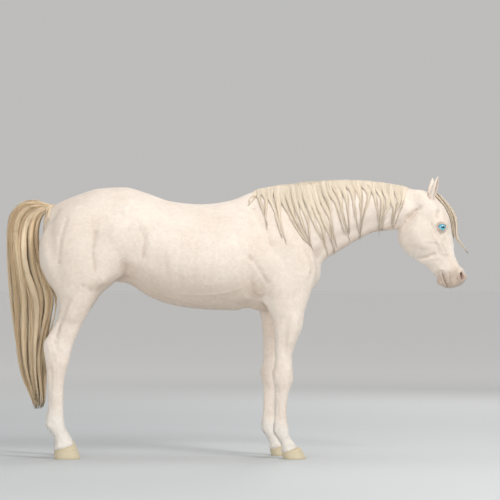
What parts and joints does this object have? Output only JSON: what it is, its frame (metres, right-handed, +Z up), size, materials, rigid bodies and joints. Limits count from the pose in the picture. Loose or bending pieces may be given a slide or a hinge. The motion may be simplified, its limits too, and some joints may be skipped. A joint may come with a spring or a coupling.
{
  "type": "standing horse model",
  "caption": "Life-size still model of a cream horse with blue eyes, standing with a long level neck and a steep face.",
  "frame": {"origin": "on the floor under the middle of the box round the horse", "axes": "+X from the tail toward the head, +Y toward the horse's left, +Z up"},
  "size_m": [2.6068, 0.6074, 1.5781],
  "materials": {
    "coat": "short cream coat over pink skin",
    "mane_hair": "long ivory hair",
    "tail_hair": "long hair, wheat coloured near the dock",
    "eye": "wet, pale blue iris",
    "hoof_horn": "pale unpigmented horn"
  },
  "bodies": {
    "root": {"trunk": "coat", "neck": "coat", "head": "coat", "ear_right": "coat", "ear_left": "coat", "eye_right": "eye", "eye_left": "eye", "mane": "mane_hair", "forelock": "mane_hair", "tail": "tail_hair", "foreleg_right": "coat", "foreleg_left": "coat", "hindleg_right": "coat", "hindleg_left": "coat", "hoof_fore_right": "hoof_horn", "hoof_fore_left": "hoof_horn", "hoof_hind_right": "hoof_horn", "hoof_hind_left": "hoof_horn"}
  },
  "joints": []
}
